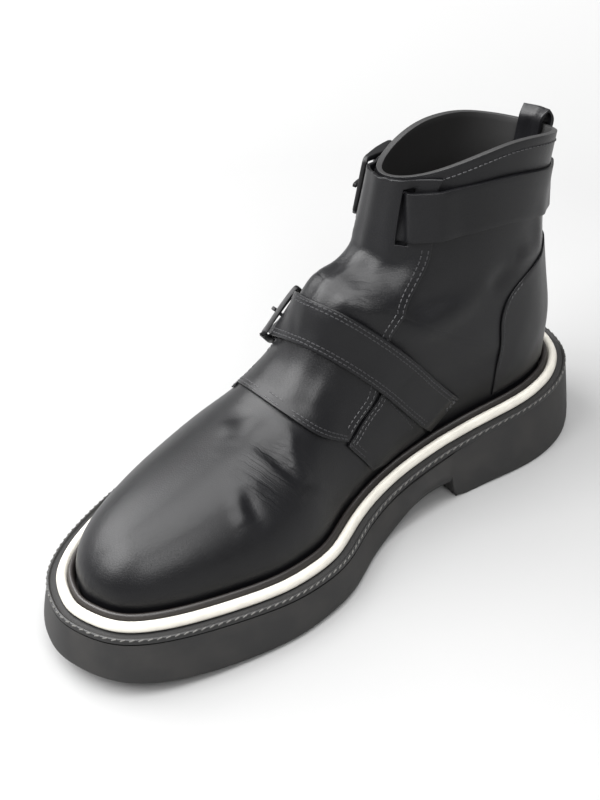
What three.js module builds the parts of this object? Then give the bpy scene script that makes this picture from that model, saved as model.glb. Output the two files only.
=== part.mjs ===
// A right ankle boot of smooth black leather with two buckled straps, a welted rubber sole
// and a white piping. Millimetres, +Z up, the toe points to -Y, the inner side of the foot is +X.
// The sole, the welt, the beads and the upper share one set of stations along the foot, so
// each ring of the upper meets its own point of the sole's outline.
import * as THREE from 'three';
import { mergeVertices } from 'three/addons/utils/BufferGeometryUtils.js';

// Driving sizes
const soleLength = 290;
const ballWidth = 116;
const collarHeight = 163;
const instepHeight = 113;
const upperWall = 2.4;
const clearance = 0.3;

// Sole and welt
const seatHeightHeel = 33;
const heelLength = 97;
const breastSlant = 4;
const archRise = 10;
const toeSpring = 8.5;
const weltThickness = 3.2;
const weltLip = 1.1;
const soleGroove = 0.6;
const weltWidth = 4.4;
const soleFlare = 3;
const soleBevel = 1;

// Beads between welt and upper
const pipingWidth = 4.2;
const pipingHeight = 3.8;
const randWidth = 2.8;
const randHeight = 4.6;
const featherGap = 1;
const insoleThickness = 3;
const insoleGap = 1.3;

// Leather overlays, each a layer above the upper
const layerGap = 0.75;
const strapGap = 0.5;
const panelThickness = 1.6;
const wingThickness = 1.2;
const counterThickness = 1.2;
const overPanel = layerGap + panelThickness + strapGap;
const overWing = layerGap + wingThickness + strapGap;

// Straps, buckles and the pull loop
const strapThickness = 2;
const chapeThickness = 1.1;
const beltWidth = 21;
const instepStrapWidth = 20;
const buckleBar = 2.8;
const buckleReach = 24;
const buckleHeight = 2.2;
const barHeight = 2;
const prongWidth = 1.8;
const prongHoleWidth = 2.6;
const keeperWidth = 7;
const keeperThickness = 1.3;
const loopWidth = 17;
const loopThickness = 1.2;
const loopRise = 7;
const overStrap = layerGap + strapThickness + clearance;
const overLoop = layerGap + loopThickness + strapGap;
const overChape = overPanel + chapeThickness + clearance;

const stationCount = 25;
const halfGirthPoints = 14;
const halfLength = soleLength / 2;
const halfBall = ballWidth / 2;
const pipingInset = soleFlare + weltWidth + pipingWidth / 2;
const randInset = pipingInset + pipingWidth / 2 + clearance + randWidth / 2;
const featherInset = randInset + randWidth / 2 + featherGap;

// Sole outline: along from heel to toe as a share of the length, half width and
// sideways shift of the middle as shares of half the ball width
const outlineTable = [
  { along: 0.02, half: 0.345, shift: 0.068 },
  { along: 0.05, half: 0.53, shift: 0.068 },
  { along: 0.1, half: 0.685, shift: 0.068 },
  { along: 0.15, half: 0.745, shift: 0.07 },
  { along: 0.2, half: 0.755, shift: 0.068 },
  { along: 0.3, half: 0.72, shift: 0.03 },
  { along: 0.4, half: 0.72, shift: -0.035 },
  { along: 0.5, half: 0.825, shift: -0.09 },
  { along: 0.6, half: 0.985, shift: -0.035 },
  { along: 0.7, half: 0.985, shift: 0.033 },
  { along: 0.8, half: 0.875, shift: 0.073 },
  { along: 0.9, half: 0.69, shift: 0.115 },
  { along: 0.95, half: 0.53, shift: 0.135 },
  { along: 0.98, half: 0.35, shift: 0.14 },
];
const heelTip = { along: 0, half: 0, shift: 0.068 };
const toeTip = { along: 1, half: 0, shift: 0.14 };

// Welt seat above the floor, as shares of its height at the heel
const seatTable = [
  { along: 0, height: 1 },
  { along: 0.15, height: 0.98 },
  { along: 0.3, height: 0.87 },
  { along: 0.42, height: 0.68 },
  { along: 0.52, height: 0.555 },
  { along: 0.6, height: 0.565 },
  { along: 0.7, height: 0.635 },
  { along: 0.82, height: 0.74 },
  { along: 0.92, height: 0.83 },
  { along: 1, height: 0.89 },
];

// Foot part of the upper: along from toe to heel of the feather line, ridge point as shares of
// the sole length (back from the toe) and instep height, side fullness, level of the widest
// point and roundness of the crown
const footTable = [
  { along: 0, back: 0.051, up: 0.27, medial: 1, lateral: 1, level: 0.3, crown: 2.1, middle: 0.14 },
  { along: 0.02, back: 0.066, up: 0.385, medial: 1, lateral: 1, level: 0.3, crown: 2.1, middle: 0.14 },
  { along: 0.06, back: 0.102, up: 0.46, medial: 1.01, lateral: 1.01, level: 0.28, crown: 2.15, middle: 0.14 },
  { along: 0.12, back: 0.157, up: 0.505, medial: 1.01, lateral: 1.01, level: 0.25, crown: 2.1, middle: 0.12 },
  { along: 0.2, back: 0.229, up: 0.542, medial: 1.01, lateral: 1.01, level: 0.22, crown: 2, middle: 0.11 },
  { along: 0.3, back: 0.322, up: 0.585, medial: 1.01, lateral: 1.01, level: 0.2, crown: 1.9, middle: 0.09 },
  { along: 0.4, back: 0.396, up: 0.635, medial: 1.01, lateral: 1.01, level: 0.18, crown: 1.85, middle: 0.05 },
  { along: 0.5, back: 0.444, up: 0.72, medial: 1.03, lateral: 1.01, level: 0.2, crown: 1.85, middle: 0.01 },
  { along: 0.6, back: 0.472, up: 0.81, medial: 1.08, lateral: 1.01, level: 0.26, crown: 1.85, middle: 0 },
  { along: 0.7, back: 0.486, up: 0.885, medial: 1.1, lateral: 1.03, level: 0.33, crown: 1.9, middle: 0 },
  { along: 0.8, back: 0.495, up: 0.95, medial: 1.1, lateral: 1.06, level: 0.36, crown: 2, middle: 0.01 },
  { along: 0.9, back: 0.508, up: 0.985, medial: 1.1, lateral: 1.08, level: 0.36, crown: 2.05, middle: 0.02 },
];

// Shaft: rise from the heel seat to the collar, back and front points as shares of the sole length
// (back from the toe) and collar height, the rest as above; lean lifts the inner side and swell
// both sides of the collar
const shaftTable = [
  { rise: 0, heel: 0.944, heelUp: 0.2, back: 0.528, up: 0.703, medial: 1.1, lateral: 1.08, level: 0.36,
    crown: 2.1, middle: 0.02, lean: 0, swell: 0 },
  { rise: 0.2, heel: 0.952, heelUp: 0.335, back: 0.565, up: 0.724, medial: 1.09, lateral: 1.07, level: 0.37,
    crown: 2.1, middle: 0.02, lean: 0, swell: 0 },
  { rise: 0.45, heel: 0.934, heelUp: 0.52, back: 0.598, up: 0.755, medial: 1.06, lateral: 1.04, level: 0.4,
    crown: 2.1, middle: 0.02, lean: 0.03, swell: 0.005 },
  { rise: 0.65, heel: 0.921, heelUp: 0.67, back: 0.612, up: 0.81, medial: 1, lateral: 0.99, level: 0.43,
    crown: 2, middle: 0.01, lean: 0.07, swell: 0.015 },
  { rise: 0.85, heel: 0.926, heelUp: 0.8, back: 0.622, up: 0.883, medial: 0.95, lateral: 0.94, level: 0.46,
    crown: 1.9, middle: 0.01, lean: 0.11, swell: 0.03 },
  { rise: 1, heel: 0.938, heelUp: 0.905, back: 0.629, up: 0.945, medial: 0.92, lateral: 0.9, level: 0.48,
    crown: 1.8, middle: 0.01, lean: 0.14, swell: 0.05 },
];

// Front panel, from the vamp seam to the collar: ring and girth of both edges and ring of the
// middle; lift is the share of a strap's layer under its middle, and rows mark the slits
const panelTable = [
  { step: 0, ring: 0.496, girth: 0.235, middle: 0.441, outerRing: 0.455, outerGirth: 0.672, lift: 0 },
  { step: 1, ring: 0.519, girth: 0.252, middle: 0.474, outerRing: 0.478, outerGirth: 0.658, lift: 0 },
  { step: 2, ring: 0.557, girth: 0.268, middle: 0.526, outerRing: 0.51, outerGirth: 0.634, lift: 0 },
  { step: 3, ring: 0.65, girth: 0.322, middle: 0.615, outerRing: 0.6, outerGirth: 0.608, lift: 0 },
  { step: 4, ring: 0.76, girth: 0.372, middle: 0.75, outerRing: 0.72, outerGirth: 0.595, lift: 0 },
  { step: 5, ring: 1.03, girth: 0.402, middle: 1, outerRing: 1, outerGirth: 0.597, lift: 0 },
  { step: 6, ring: 1.3, girth: 0.405, middle: 1.29, outerRing: 1.29, outerGirth: 0.602, lift: 0 },
  { step: 7, ring: 1.565, girth: 0.395, middle: 1.57, outerRing: 1.565, outerGirth: 0.607, lift: 1 },
  { step: 8, ring: 1.745, girth: 0.395, middle: 1.76, outerRing: 1.745, outerGirth: 0.607, lift: 1 },
  { step: 9, ring: 1.915, girth: 0.395, middle: 1.945, outerRing: 1.915, outerGirth: 0.607, lift: 1 },
  { step: 10, ring: 1.955, girth: 0.388, middle: 2, outerRing: 1.955, outerGirth: 0.612, lift: 1 },
];
const slitRows = { from: 7, to: 9 };
const slitShare = { inner: 0.45, outer: 0.62 };

// Quarter tips beside the panel: upper and lower edge from the tip backwards
const medialWingTable = [
  { ring: 0.494, girth: 0.224, lowRing: 0.496, lowGirth: 0.207 },
  { ring: 0.508, girth: 0.231, lowRing: 0.503, lowGirth: 0.15 },
  { ring: 0.522, girth: 0.242, lowRing: 0.51, lowGirth: 0.085 },
  { ring: 0.538, girth: 0.25, lowRing: 0.525, lowGirth: 0.06 },
  { ring: 0.556, girth: 0.256, lowRing: 0.55, lowGirth: 0.055 },
  { ring: 0.585, girth: 0.272, lowRing: 0.575, lowGirth: 0.052 },
  { ring: 0.612, girth: 0.286, lowRing: 0.582, lowGirth: 0.054 },
];
const lateralWingTable = [
  { ring: 0.449, girth: 0.683, lowRing: 0.45, lowGirth: 0.7 },
  { ring: 0.47, girth: 0.672, lowRing: 0.47, lowGirth: 0.78 },
  { ring: 0.492, girth: 0.656, lowRing: 0.494, lowGirth: 0.86 },
  { ring: 0.515, girth: 0.642, lowRing: 0.515, lowGirth: 0.93 },
  { ring: 0.545, girth: 0.632, lowRing: 0.55, lowGirth: 0.945 },
  { ring: 0.58, girth: 0.626, lowRing: 0.585, lowGirth: 0.948 },
];

// Heel counter: back of the shoe's middle as a share of half its length, top as a share of the
// collar height, from the seam round to the middle of the heel
const counterTable = [
  { back: 0.535, top: 0.5 },
  { back: 0.56, top: 0.555 },
  { back: 0.61, top: 0.588 },
  { back: 0.69, top: 0.612 },
  { back: 0.78, top: 0.627 },
  { back: 0.85, top: 0.634 },
  { back: 0.888, top: 0.637 },
];

// Straps: ring and girth of the middle line; girth beyond 1 is the second turn
const collarLine = [
  { ring: 1.765, girth: 0.632 },
  { ring: 1.775, girth: 0.75 },
  { ring: 1.785, girth: 0.88 },
  { ring: 1.785, girth: 1 },
  { ring: 1.785, girth: 1.12 },
  { ring: 1.79, girth: 1.25 },
  { ring: 1.775, girth: 1.38 },
  { ring: 1.762, girth: 1.5 },
  { ring: 1.765, girth: 1.632 },
  { ring: 1.775, girth: 1.75 },
  { ring: 1.785, girth: 1.84 },
];
const collarSite = { girth: 1.645, chape: 0.638, tip: 1.815 };
const instepLine = [
  { ring: 0.645, girth: 0.08 },
  { ring: 0.643, girth: 0.125 },
  { ring: 0.643, girth: 0.187 },
  { ring: 0.648, girth: 0.286 },
  { ring: 0.648, girth: 0.357 },
  { ring: 0.64, girth: 0.433 },
  { ring: 0.622, girth: 0.49 },
  { ring: 0.605, girth: 0.56 },
  { ring: 0.6, girth: 0.63 },
  { ring: 0.605, girth: 0.7 },
  { ring: 0.615, girth: 0.78 },
  { ring: 0.63, girth: 0.86 },
  { ring: 0.64, girth: 0.95 },
];
const instepSite = { girth: 0.66, tip: 0.84, anchor: 0.912 };

const leather = { color: 0x17171a, roughness: 0.38, metalness: 0 };
const rubber = { color: 0x232222, roughness: 0.75, metalness: 0 };
const ivory = { color: 0xeeeae0, roughness: 0.5, metalness: 0 };
const darkBrown = { color: 0x2c2622, roughness: 0.5, metalness: 0 };
const blackMetal = { color: 0x0e0e10, roughness: 0.35, metalness: 0.6 };
const lining = { color: 0x1d1b1a, roughness: 0.7, metalness: 0 };

const boot = new THREE.Group();

// Smooth curve through the rows of a table
function columnCurve(rows, position, column) {
  const at = rows.map(position);
  const values = rows.map((row) => row[column]);
  const curve = new THREE.CubicInterpolant(at, values, 1);
  return (t) => curve.evaluate(Math.min(Math.max(t, at[0]), at[at.length - 1]))[0];
}

function smooth(t) {
  const s = Math.min(Math.max(t, 0), 1);
  return s * s * (3 - 2 * s);
}

// Collects triangles and turns them into one closed mesh
class Solid {
  constructor() {
    this.corners = [];
  }
  triangle(a, b, c) {
    this.corners.push(a, b, c);
  }
  quad(a, b, c, d) {
    this.triangle(a, b, c);
    this.triangle(a, c, d);
  }
  geometry() {
    const positions = this.corners.flatMap((p) => [p.x, p.y, p.z]);
    const loose = new THREE.BufferGeometry();
    loose.setAttribute('position', new THREE.Float32BufferAttribute(positions, 3));
    const merged = mergeVertices(loose, 0.002);
    const index = Array.from(merged.index.array);
    const kept = [];
    for (let i = 0; i < index.length; i += 3) {
      const [a, b, c] = index.slice(i, i + 3);
      if (a !== b && b !== c && c !== a) {
        kept.push(a, b, c);
      }
    }
    merged.setIndex(kept);
    if (signedVolume(merged) < 0) {
      merged.setIndex(kept.reverse());
    }
    return merged;
  }
}

function signedVolume(geometry) {
  const place = geometry.attributes.position;
  const index = geometry.index.array;
  const [a, b, c] = [new THREE.Vector3(), new THREE.Vector3(), new THREE.Vector3()];
  let volume = 0;
  for (let i = 0; i < index.length; i += 3) {
    a.fromBufferAttribute(place, index[i]);
    b.fromBufferAttribute(place, index[i + 1]);
    c.fromBufferAttribute(place, index[i + 2]);
    volume += a.dot(b.cross(c)) / 6;
  }
  return volume;
}

function add(name, geometry, finish) {
  geometry.computeVertexNormals();
  const mesh = new THREE.Mesh(geometry, new THREE.MeshStandardMaterial(finish));
  mesh.name = name;
  boot.add(mesh);
  return mesh;
}

// Solid between a grid of outer points and the same grid of inner points; absent quads are holes
function sheetSolid(outer, inner, absent = () => false) {
  const solid = new Solid();
  const rows = outer.length - 1;
  const columns = outer[0].length - 1;
  const present = (i, j) => i >= 0 && j >= 0 && i < rows && j < columns && !absent(i, j);
  for (let i = 0; i < rows; i += 1) {
    for (let j = 0; j < columns; j += 1) {
      if (!present(i, j)) {
        continue;
      }
      const [a, b, c, d] = [outer[i][j], outer[i + 1][j], outer[i + 1][j + 1], outer[i][j + 1]];
      const [e, f, g, h] = [inner[i][j], inner[i + 1][j], inner[i + 1][j + 1], inner[i][j + 1]];
      solid.quad(a, b, c, d);
      solid.quad(e, h, g, f);
      if (!present(i, j - 1)) {
        solid.quad(a, e, f, b);
      }
      if (!present(i, j + 1)) {
        solid.quad(d, c, g, h);
      }
      if (!present(i - 1, j)) {
        solid.quad(a, d, h, e);
      }
      if (!present(i + 1, j)) {
        solid.quad(b, f, g, c);
      }
    }
  }
  return solid.geometry();
}

// Sole outline as a dense closed curve, then points at the stations on both sides
const toY = (along) => halfLength - along * soleLength;

function outlineCurve() {
  const side = (row, sign) => {
    const x = (row.shift + sign * row.half) * halfBall;
    return new THREE.Vector3(x, toY(row.along), 0);
  };
  const medial = outlineTable.map((row) => side(row, 1));
  const lateral = outlineTable.map((row) => side(row, -1)).reverse();
  const points = [side(heelTip, 0), ...medial, side(toeTip, 0), ...lateral];
  return new THREE.CatmullRomCurve3(points, true, 'centripetal').getSpacedPoints(900);
}

const densePoints = outlineCurve();
const lowestY = Math.min(...densePoints.map((p) => p.y));
const highestY = Math.max(...densePoints.map((p) => p.y));
const toeIndex = densePoints.findIndex((p) => p.y === lowestY);

function edgeAt(points, y) {
  for (let i = 0; i + 1 < points.length; i += 1) {
    const [p, q] = [points[i], points[i + 1]];
    if ((p.y - y) * (q.y - y) <= 0 && p.y !== q.y) {
      return p.x + ((q.x - p.x) * (y - p.y)) / (q.y - p.y);
    }
  }
  const [first, last] = [points[0], points[points.length - 1]];
  return Math.abs(y - first.y) < Math.abs(y - last.y) ? first.x : last.x;
}

// Stations crowd towards toe and heel, where the outline turns, and two mark the heel's breast
function stationList() {
  const list = [];
  for (let k = 0; k <= stationCount; k += 1) {
    list.push((lowestY + highestY) / 2 - ((highestY - lowestY) / 2) * Math.cos((Math.PI * k) / stationCount));
  }
  const breast = halfLength - heelLength;
  const near = list.reduce((best, y) => (Math.abs(y - breast) < Math.abs(best - breast) ? y : best));
  const at = list.indexOf(near);
  list[at] = breast;
  list.splice(at, 0, breast - breastSlant);
  return list;
}

const stations = stationList();
const lastStation = stations.length - 1;
const medialSide = [...densePoints.slice(0, toeIndex + 1)];
const lateralSide = [densePoints[0], ...densePoints.slice(toeIndex).reverse()];

// Closed ring in station order: toe, inner side to the heel, outer side back to the toe
function outlineRing() {
  const ring = [];
  stations.forEach((y, k) => {
    const x = k === 0 ? densePoints[toeIndex].x : edgeAt(medialSide, y);
    ring.push(new THREE.Vector2(x, y));
  });
  for (let k = lastStation - 1; k > 0; k -= 1) {
    ring.push(new THREE.Vector2(edgeAt(lateralSide, stations[k]), stations[k]));
  }
  return ring;
}

function insetRing(ring, distance) {
  const count = ring.length;
  return ring.map((point, i) => {
    const before = ring[(i + count - 1) % count];
    const after = ring[(i + 1) % count];
    const along = after.clone().sub(before).normalize();
    return new THREE.Vector2(point.x - along.y * distance, point.y + along.x * distance);
  });
}

const soleRing = outlineRing();
const seatCurve = columnCurve(seatTable, (row) => row.along, 'height');
const seatHeight = (y) => seatHeightHeel * seatCurve((halfLength - y) / soleLength);
const ringPoints = (inset, height) =>
  insetRing(soleRing, inset).map((p, i) => new THREE.Vector3(p.x, p.y, height(p.y, i)));

// Strip of quads between two closed rings
function band(solid, lower, upper) {
  const count = lower.length;
  for (let i = 0; i < count; i += 1) {
    const next = (i + 1) % count;
    solid.quad(lower[i], lower[next], upper[next], upper[i]);
  }
}

// Cap of a ring in station order, by quads across the foot
function cap(solid, ring, up) {
  const count = ring.length;
  for (let k = 0; k < count / 2; k += 1) {
    const [a, b] = [ring[k], ring[k + 1]];
    const [c, d] = [ring[(count - k - 1) % count], ring[(count - k) % count]];
    if (up) {
      solid.quad(a, b, c, d);
    } else {
      solid.quad(d, c, b, a);
    }
  }
}

// Height of the tread under each station: flat heel, arch, flat ball and toe spring
function treadHeight(y) {
  const breast = halfLength - heelLength;
  const archFront = -0.01 * soleLength;
  const springStart = -0.21 * soleLength;
  if (y >= breast - 0.01) {
    return 0;
  }
  if (y > archFront) {
    return archRise * smooth((y - archFront) / (breast - breastSlant - archFront - 8));
  }
  if (y > springStart) {
    return 0;
  }
  const reach = (springStart - y) / (springStart + halfLength);
  return toeSpring * reach * reach;
}

function makeOutsole() {
  const top = (y) => seatHeight(y) - weltThickness - clearance;
  const rings = [
    ringPoints(soleBevel + 0.8, treadHeight),
    ringPoints(0.8, (y) => treadHeight(y) + soleBevel),
    ringPoints(0, (y) => treadHeight(y) + soleBevel * 4),
    ringPoints(soleFlare * 0.9, (y) => top(y) - soleBevel),
    ringPoints(soleFlare, top),
  ];
  const solid = new Solid();
  for (let i = 0; i + 1 < rings.length; i += 1) {
    band(solid, rings[i], rings[i + 1]);
  }
  cap(solid, rings[0], false);
  cap(solid, rings[rings.length - 1], true);
  add('outsole', solid.geometry(), rubber);
}

// Closed bead or strip: a section of inset and height, swept round the shoe
function sweptStrip(section) {
  const rings = section.map(([inset, rise]) => ringPoints(inset, (y) => seatHeight(y) + rise));
  const solid = new Solid();
  rings.forEach((ring, i) => band(solid, ring, rings[(i + 1) % rings.length]));
  return solid.geometry();
}

function makeWelt() {
  const low = -weltThickness;
  const inner = soleFlare + weltWidth + pipingWidth;
  add('welt', sweptStrip([
    [inner, low],
    [soleFlare + soleGroove, low],
    [soleFlare + soleGroove, low + soleGroove],
    [soleFlare, low + soleGroove * 2],
    [soleFlare + 0.3, 0],
    [soleFlare + weltLip, 0.2],
    [soleFlare + weltLip + 0.6, -0.5],
    [inner, -0.5],
  ]), rubber);
}

function makePiping() {
  const [w, h] = [pipingWidth / 2, pipingHeight];
  const base = clearance - 0.5;
  add('piping', sweptStrip([
    [pipingInset + w * 0.8, base],
    [pipingInset - w * 0.8, base],
    [pipingInset - w, base + h * 0.35],
    [pipingInset - w * 0.6, base + h * 0.8],
    [pipingInset, base + h],
    [pipingInset + w * 0.7, base + h * 0.85],
    [pipingInset + w, base + h * 0.4],
  ]), ivory);
}

function makeRand() {
  const w = randWidth / 2;
  const base = clearance - 0.5;
  add('rand', sweptStrip([
    [randInset + w, base],
    [randInset - w, base],
    [randInset - w, base + randHeight * 0.6],
    [randInset - w * 0.4, base + randHeight],
    [randInset + w * 0.5, base + randHeight],
    [randInset + w, base + randHeight * 0.7],
  ]), darkBrown);
}

function makeInsole() {
  const inset = featherInset + upperWall + insoleGap;
  const base = (y) => seatHeight(y) - weltThickness;
  const rings = [
    ringPoints(inset, base),
    ringPoints(inset, (y) => base(y) + insoleThickness),
  ];
  const solid = new Solid();
  band(solid, rings[0], rings[1]);
  cap(solid, rings[0], false);
  cap(solid, rings[1], true);
  add('insole', solid.geometry(), lining);
}

// Upper
const feather = ringPoints(featherInset, (y) => seatHeight(y) - weltThickness + clearance);
const innerFeather = ringPoints(featherInset + upperWall, (y) => seatHeight(y) - weltThickness + clearance);
const featherMedial = feather.slice(0, lastStation + 1);
const featherLateral = [feather[0], ...feather.slice(lastStation).reverse()];
const featherHeel = feather[lastStation];
const footPosition = (row) => Math.acos(1 - 2 * row.along) / Math.PI;
const heelRow = { ...shaftTable[0], along: 1, up: (shaftTable[0].up * collarHeight) / instepHeight };
const footRows = [...footTable, heelRow];
const footColumn = (name) => columnCurve(footRows, footPosition, name);
const shaftColumn = (name) => columnCurve(shaftTable, (row) => row.rise, name);
const columns = ['back', 'up', 'medial', 'lateral', 'level', 'crown', 'middle'];
const foot = Object.fromEntries(columns.map((name) => [name, footColumn(name)]));
const shaft = Object.fromEntries([...columns, 'heel', 'heelUp', 'lean', 'swell'].map((name) => [name, shaftColumn(name)]));

// One side of a ring, from the feather line or the heel seam up to the ridge
function halfRing(start, ridge, side, fullness, level, crown, heelShift) {
  const sideLine = side > 0 ? featherMedial : featherLateral;
  const steps = 24;
  const points = [];
  const widthAt = (s) => {
    const y = start.y + (ridge.y - start.y) * s;
    const edge = edgeAt(sideLine, y + heelShift);
    return start.middle + (edge - start.middle) * (1 + (fullness - 1) * smooth(s / level));
  };
  const widest = widthAt(level);
  for (let i = 0; i <= steps; i += 1) {
    const s = (level * i) / steps;
    points.push(new THREE.Vector3(widthAt(s), start.y + (ridge.y - start.y) * s, start.z + (ridge.z - start.z) * s));
  }
  for (let i = 1; i <= steps; i += 1) {
    const angle = (Math.PI / 2) * (i / steps);
    const s = level + (1 - level) * Math.sin(angle) ** (2 / crown);
    const x = ridge.x + (widest - ridge.x) * Math.cos(angle) ** (2 / 2.1);
    points.push(new THREE.Vector3(x, start.y + (ridge.y - start.y) * s, start.z + (ridge.z - start.z) * s));
  }
  points[0].set(start.x, start.y, start.z);
  return respaced(points, halfGirthPoints);
}

function respaced(points, count) {
  const lengths = [0];
  for (let i = 1; i < points.length; i += 1) {
    lengths.push(lengths[i - 1] + points[i].distanceTo(points[i - 1]));
  }
  const total = lengths[lengths.length - 1];
  const out = [];
  let i = 1;
  for (let j = 0; j <= count; j += 1) {
    const target = (total * j) / count;
    while (i < points.length - 1 && lengths[i] < target) {
      i += 1;
    }
    const span = lengths[i] - lengths[i - 1];
    const t = span > 0 ? (target - lengths[i - 1]) / span : 0;
    out.push(points[i - 1].clone().lerp(points[i], Math.min(Math.max(t, 0), 1)));
  }
  return out;
}

function footRing(k) {
  const medialFoot = feather[k];
  const lateralFoot = feather[(feather.length - k) % feather.length];
  const along = (feather[0].y - medialFoot.y) / (feather[0].y - featherHeel.y);
  const t = Math.acos(Math.min(Math.max(1 - 2 * along, -1), 1)) / Math.PI;
  const ridge = {
    x: foot.middle(t) * halfBall,
    y: -halfLength + foot.back(t) * soleLength,
    z: foot.up(t) * instepHeight,
  };
  const middle = (medialFoot.x + lateralFoot.x) / 2;
  const half = (corner, side, fullness) => {
    const start = { x: corner.x, y: corner.y, z: corner.z, middle };
    return halfRing(start, ridge, side, fullness, foot.level(t), foot.crown(t), 0);
  };
  const medial = half(medialFoot, 1, foot.medial(t));
  const lateral = half(lateralFoot, -1, foot.lateral(t));
  return [...medial, ...lateral.reverse().slice(1)];
}

function shaftRing(rise) {
  const heelX = featherHeel.x;
  const start = {
    x: heelX,
    y: -halfLength + shaft.heel(rise) * soleLength,
    z: shaft.heelUp(rise) * collarHeight,
    middle: heelX,
  };
  const ridge = {
    x: shaft.middle(rise) * halfBall,
    y: -halfLength + shaft.back(rise) * soleLength,
    z: shaft.up(rise) * collarHeight,
  };
  const heelShift = featherHeel.y - start.y;
  const level = shaft.level(rise);
  const crown = shaft.crown(rise);
  const medial = halfRing(start, ridge, 1, shaft.medial(rise), level, crown, heelShift);
  const lateral = halfRing(start, ridge, -1, shaft.lateral(rise), level, crown, heelShift);
  const ring = [...medial, ...lateral.reverse().slice(1)];
  const lean = shaft.lean(rise);
  const swell = shaft.swell(rise) * collarHeight;
  ring.forEach((p, j) => {
    const side = Math.sin((Math.PI * j) / halfGirthPoints) ** 2;
    p.z += lean * (p.x - heelX) + swell * side;
  });
  return ring;
}

const shaftRises = [0, 0.07, 0.15, 0.25, 0.36, 0.47, 0.58, 0.69, 0.8, 0.9, 1];

function upperGrid() {
  const rows = [];
  for (let k = 0; k < lastStation; k += 1) {
    rows.push(footRing(k));
  }
  shaftRises.forEach((rise) => rows.push(shaftRing(rise)));
  const first = rows[0][0];
  rows[0].forEach((p) => p.copy(first));
  const seam = rows[lastStation];
  seam[0].copy(featherHeel);
  seam[seam.length - 1].copy(featherHeel);
  return rows;
}

// Outward normal of each point of the grid, with the heel seam closed
function gridNormals(rows) {
  const count = rows[0].length;
  return rows.map((row, i) => row.map((point, j) => {
    const closed = i >= lastStation;
    const left = closed && j === 0 ? row[count - 2] : row[Math.max(j - 1, 0)];
    const right = closed && j === count - 1 ? row[1] : row[Math.min(j + 1, count - 1)];
    const before = rows[Math.max(i - 1, 0)][j];
    const after = rows[Math.min(i + 1, rows.length - 1)][j];
    const across = right.clone().sub(left);
    const along = after.clone().sub(before);
    return along.cross(across).normalize();
  }));
}

const skin = upperGrid();
const skinNormals = gridNormals(skin);
skinNormals[0] = skinNormals[0].map(() => new THREE.Vector3(0, -1, 0));

// Point above the skin at ring v and column u, both in grid steps; the shaft's rings are closed
function onSkin(v, u, rise) {
  const columnsOfSkin = skin[0].length - 1;
  const turn = v >= lastStation ? Math.floor(u / columnsOfSkin) * columnsOfSkin : 0;
  const i = Math.min(Math.max(Math.floor(v), 0), skin.length - 2);
  const j = Math.min(Math.max(Math.floor(u - turn), 0), columnsOfSkin - 1);
  const [fv, fu] = [v - i, u - turn - j];
  const mix = (grid) => {
    const low = grid[i][j].clone().lerp(grid[i][j + 1], fu);
    const high = grid[i + 1][j].clone().lerp(grid[i + 1][j + 1], fu);
    return low.lerp(high, fv);
  };
  return mix(skin).addScaledVector(mix(skinNormals).normalize(), rise);
}

// Place on the skin nearest to a point, in grid steps
function placeOf(point) {
  let best = { v: 0, u: 0, gap: Infinity };
  skin.forEach((row, v) => row.forEach((p, u) => {
    const gap = p.distanceTo(point);
    best = gap < best.gap ? { v, u, gap } : best;
  }));
  for (let step = 0.6; step > 0.004; step *= 0.62) {
    for (const [dv, du] of [[1, 0], [-1, 0], [0, 1], [0, -1], [1, 1], [1, -1], [-1, 1], [-1, -1]]) {
      const v = Math.min(Math.max(best.v + dv * step, 0), skin.length - 1);
      const span = skin[0].length - 1;
      const u = v >= lastStation ? best.u + du * step : Math.min(Math.max(best.u + du * step, 0), span);
      const gap = onSkin(v, u, 0).distanceTo(point);
      best = gap < best.gap ? { v, u, gap } : best;
    }
  }
  return best;
}

function pressed(point, rise) {
  const { v, u } = placeOf(point);
  return onSkin(v, u, rise);
}

// Grid row of a ring share: 0 to 1 from toe to heel along the feather line, 1 to 2 up the shaft
function rowOf(ring) {
  if (ring <= 1) {
    return ring * lastStation;
  }
  const i = Math.max(shaftRises.findIndex((rise) => rise >= ring - 1), 1);
  const share = (ring - 1 - shaftRises[i - 1]) / (shaftRises[i] - shaftRises[i - 1]);
  return lastStation + i - 1 + share;
}

const columnOf = (girth) => girth * 2 * halfGirthPoints;

function makeUpper() {
  const inner = skin.map((row, i) => row.map((p, j) => p.clone().addScaledVector(skinNormals[i][j], -upperWall)));
  const last = skin[0].length - 1;
  for (let k = 0; k <= lastStation; k += 1) {
    inner[k][0].copy(innerFeather[k]);
    inner[k][last].copy(innerFeather[(innerFeather.length - k) % innerFeather.length]);
  }
  inner[0].forEach((p) => p.copy(innerFeather[0]));
  const solid = new Solid();
  for (let i = 0; i + 1 < skin.length; i += 1) {
    for (let j = 0; j < last; j += 1) {
      solid.quad(skin[i][j], skin[i + 1][j], skin[i + 1][j + 1], skin[i][j + 1]);
      solid.quad(inner[i][j], inner[i][j + 1], inner[i + 1][j + 1], inner[i + 1][j]);
    }
  }
  for (let k = 0; k < lastStation; k += 1) {
    solid.quad(skin[k][0], inner[k][0], inner[k + 1][0], skin[k + 1][0]);
    solid.quad(skin[k][last], skin[k + 1][last], inner[k + 1][last], inner[k][last]);
  }
  const collar = skin.length - 1;
  for (let j = 0; j < last; j += 1) {
    solid.quad(skin[collar][j], inner[collar][j], inner[collar][j + 1], skin[collar][j + 1]);
  }
  add('upper', solid.geometry(), leather);
}

// Overlay between the skin and a grid of places in grid steps, each with its own base height
function overlay(name, places, thickness, finish, absent) {
  const at = (extra) => places.map((row) => row.map(([v, u, base]) => onSkin(v, u, base + extra)));
  add(name, sheetSolid(at(thickness), at(0), absent), finish);
}

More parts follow.
